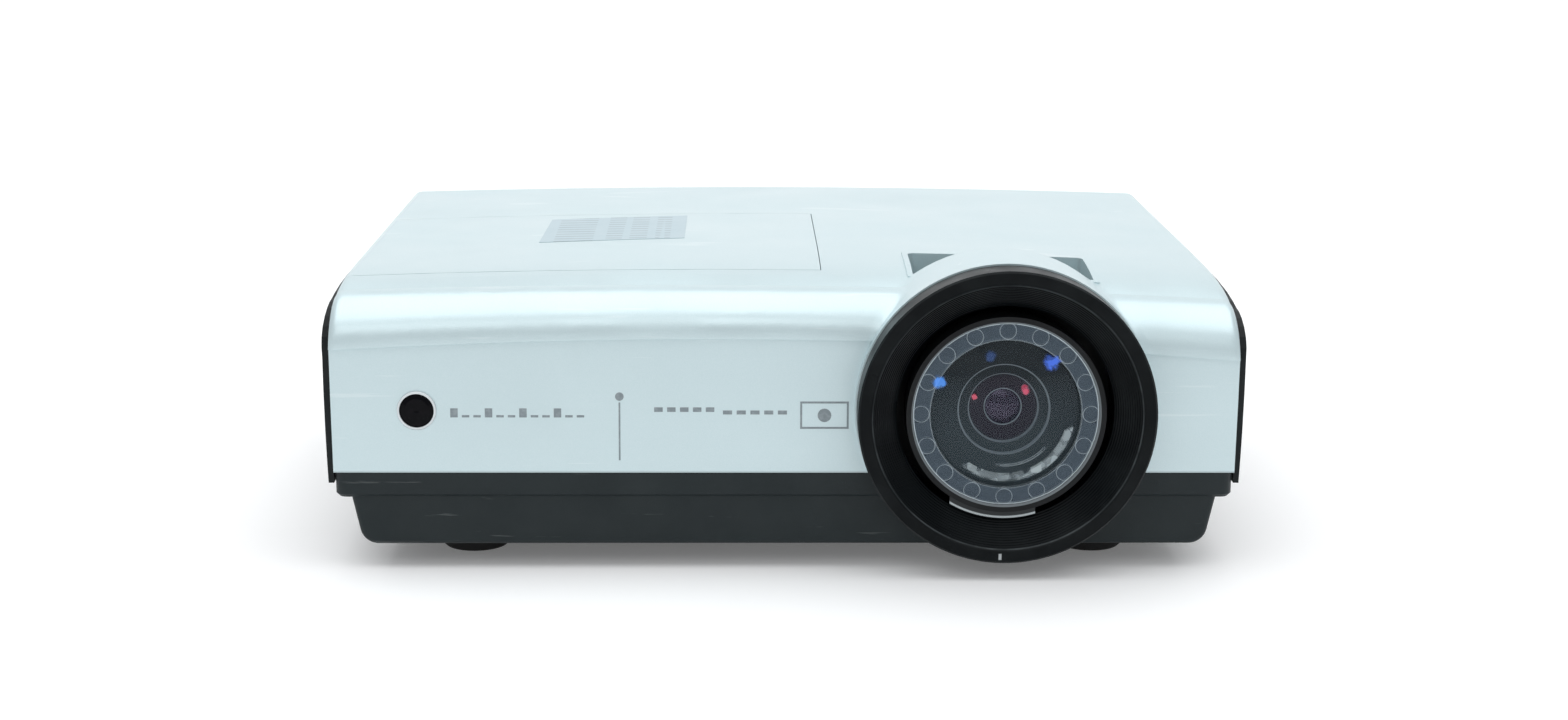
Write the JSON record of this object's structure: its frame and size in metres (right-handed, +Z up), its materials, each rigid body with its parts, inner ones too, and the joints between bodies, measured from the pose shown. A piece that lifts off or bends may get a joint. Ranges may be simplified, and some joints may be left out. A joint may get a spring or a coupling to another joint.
{
  "type": "data projector",
  "caption": "Short-throw lamp data projector with a domed silver cover, black base, large lens hood, focus sleeve, lamp door, fans, light engine, rear sockets and screw feet.",
  "frame": {"origin": "centre of the bounding box in plan, on the plane that the feet stand on", "axes": "+Z up, lens faces -Y, sockets face +Y, lens on the +X side"},
  "size_m": [0.323, 0.244, 0.1107],
  "materials": {
    "silver_plastic": "satin silver paint on plastic",
    "label_film": "matte film",
    "screw_steel": "plain",
    "black_plastic": "fine texture",
    "window_plastic": "gloss",
    "bezel_plastic": "gloss",
    "lens_black": "satin",
    "lens_glass": "clear",
    "bright_metal": "machined",
    "wheel_glass": "coated",
    "lamp_ceramic": "heat-resistant",
    "reflector_mirror": "mirror",
    "circuit_board": "solder mask",
    "socket_plastic": "matte",
    "socket_metal": "plated",
    "led_lens": "clear",
    "button_plastic": "satin",
    "foot_rubber": "matte",
    "foot_plastic": "matte"
  },
  "bodies": {
    "housing": {"top_cover": "silver_plastic", "door_screw": "screw_steel", "cover_screws": "screw_steel", "base_tray": "black_plastic", "left_side_panel": "black_plastic", "right_side_panel": "black_plastic", "rear_panel": "black_plastic", "blower_case": "black_plastic", "intake_fan_frame": "black_plastic", "exhaust_fan_frame": "black_plastic", "speaker": "black_plastic", "keypad_board": "black_plastic", "ir_window": "window_plastic", "rear_ir_window": "window_plastic", "ir_bezel": "bezel_plastic", "rear_lens": "lens_glass", "lamp_burner": "lens_glass", "dmd_heat_sink": "bright_metal", "lens_tube": "bright_metal", "light_engine_case": "bright_metal", "colour_wheel_motor": "bright_metal", "light_tunnel": "bright_metal", "lamp_housing": "lamp_ceramic", "lamp_connector": "lamp_ceramic", "lamp_reflector": "reflector_mirror", "main_board": "circuit_board", "dmd_board": "circuit_board", "power_supply": "circuit_board", "lamp_ballast": "circuit_board", "mains_inlet": "socket_plastic", "usb_port": "socket_plastic", "lan_port": "socket_plastic", "rca_jacks": "socket_plastic", "vga_ports": "socket_metal", "hdmi_port": "socket_metal", "status_leds": "led_lens"},
    "focus_ring": {"lens_hood": "lens_black", "focus_sleeve": "lens_black"},
    "lens_group": {"lens_cell": "lens_black", "front_lens": "lens_glass", "inner_barrel": "lens_black", "centre_lens": "lens_glass", "retaining_arc": "bright_metal"},
    "lamp_door": {"lamp_door": "silver_plastic", "door_label": "label_film"},
    "colour_wheel": {"colour_wheel": "wheel_glass"},
    "intake_rotor": {"intake_fan_rotor": "black_plastic"},
    "exhaust_rotor": {"exhaust_fan_rotor": "black_plastic"},
    "blower_rotor": {"blower_impeller": "black_plastic"},
    "power_button": {"power_button": "button_plastic"},
    "source_button": {"source_button": "button_plastic"},
    "menu_button": {"menu_button": "button_plastic"},
    "up_button": {"up_button": "button_plastic"},
    "down_button": {"down_button": "button_plastic"},
    "left_foot_pad": {"left_foot_pad": "foot_rubber"},
    "left_foot_screw": {"left_foot_screw": "foot_plastic"},
    "right_foot_pad": {"right_foot_pad": "foot_rubber"},
    "right_foot_screw": {"right_foot_screw": "foot_plastic"},
    "rear_foot_pad": {"rear_foot_pad": "foot_rubber"},
    "rear_foot_screw": {"rear_foot_screw": "foot_plastic"}
  },
  "joints": [
    {"name": "focus_turn", "type": "hinge", "parent": "housing", "child": "focus_ring", "pos_m": [0.0763, -0.05, 0.0583], "axis": [0, 1, 0], "range_deg": [-35, 35]},
    {"name": "lens_focus", "type": "slide", "parent": "housing", "child": "lens_group", "axis": [0, -1, 0], "range_m": [-0.001, 0.001]},
    {"name": "door_lift", "type": "slide", "parent": "housing", "child": "lamp_door", "axis": [0, 0, 1], "range_m": [0, 0.04]},
    {"name": "wheel_spin", "type": "hinge", "parent": "housing", "child": "colour_wheel", "pos_m": [0.016, 0.001, 0.039], "axis": [1, 0, 0], "continuous": true},
    {"name": "intake_spin", "type": "hinge", "parent": "housing", "child": "intake_rotor", "pos_m": [0.139, 0.04, 0.044], "axis": [1, 0, 0], "continuous": true},
    {"name": "exhaust_spin", "type": "hinge", "parent": "housing", "child": "exhaust_rotor", "pos_m": [-0.139, 0.012, 0.048], "axis": [1, 0, 0], "continuous": true},
    {"name": "blower_spin", "type": "hinge", "parent": "housing", "child": "blower_rotor", "pos_m": [-0.048, -0.076, 0.0255], "axis": [0, 0, 1], "continuous": true},
    {"name": "power_press", "type": "slide", "parent": "housing", "child": "power_button", "axis": [0, -1, 0], "range_m": [0, 0.001], "stiffness_N_per_m": 400},
    {"name": "source_press", "type": "slide", "parent": "housing", "child": "source_button", "axis": [0, -1, 0], "range_m": [0, 0.001], "stiffness_N_per_m": 400},
    {"name": "menu_press", "type": "slide", "parent": "housing", "child": "menu_button", "axis": [0, -1, 0], "range_m": [0, 0.001], "stiffness_N_per_m": 400},
    {"name": "up_press", "type": "slide", "parent": "housing", "child": "up_button", "axis": [0, -1, 0], "range_m": [0, 0.001], "stiffness_N_per_m": 400},
    {"name": "down_press", "type": "slide", "parent": "housing", "child": "down_button", "axis": [0, -1, 0], "range_m": [0, 0.001], "stiffness_N_per_m": 400},
    {"name": "left_foot_extend", "type": "slide", "parent": "housing", "child": "left_foot_pad", "axis": [0, 0, -1], "range_m": [0, 0.012]},
    {"name": "left_foot_turn", "type": "hinge", "parent": "left_foot_pad", "child": "left_foot_screw", "pos_m": [-0.112, -0.074, 0.006], "axis": [0, 0, 1], "range_deg": [-3450, 0]},
    {"name": "right_foot_extend", "type": "slide", "parent": "housing", "child": "right_foot_pad", "axis": [0, 0, -1], "range_m": [0, 0.012]},
    {"name": "right_foot_turn", "type": "hinge", "parent": "right_foot_pad", "child": "right_foot_screw", "pos_m": [0.112, -0.074, 0.006], "axis": [0, 0, 1], "range_deg": [-3450, 0]},
    {"name": "rear_foot_extend", "type": "slide", "parent": "housing", "child": "rear_foot_pad", "axis": [0, 0, -1], "range_m": [0, 0.012]},
    {"name": "rear_foot_turn", "type": "hinge", "parent": "rear_foot_pad", "child": "rear_foot_screw", "pos_m": [0, 0.084, 0.006], "axis": [0, 0, 1], "range_deg": [-3450, 0]}
  ],
  "couplings": [
    {"joint": "lens_focus", "follows": "focus_turn", "m_per_rad": 0.001637},
    {"joint": "left_foot_extend", "follows": "left_foot_turn", "m_per_rad": -0.00019894},
    {"joint": "right_foot_extend", "follows": "right_foot_turn", "m_per_rad": -0.00019894},
    {"joint": "rear_foot_extend", "follows": "rear_foot_turn", "m_per_rad": -0.00019894}
  ]
}
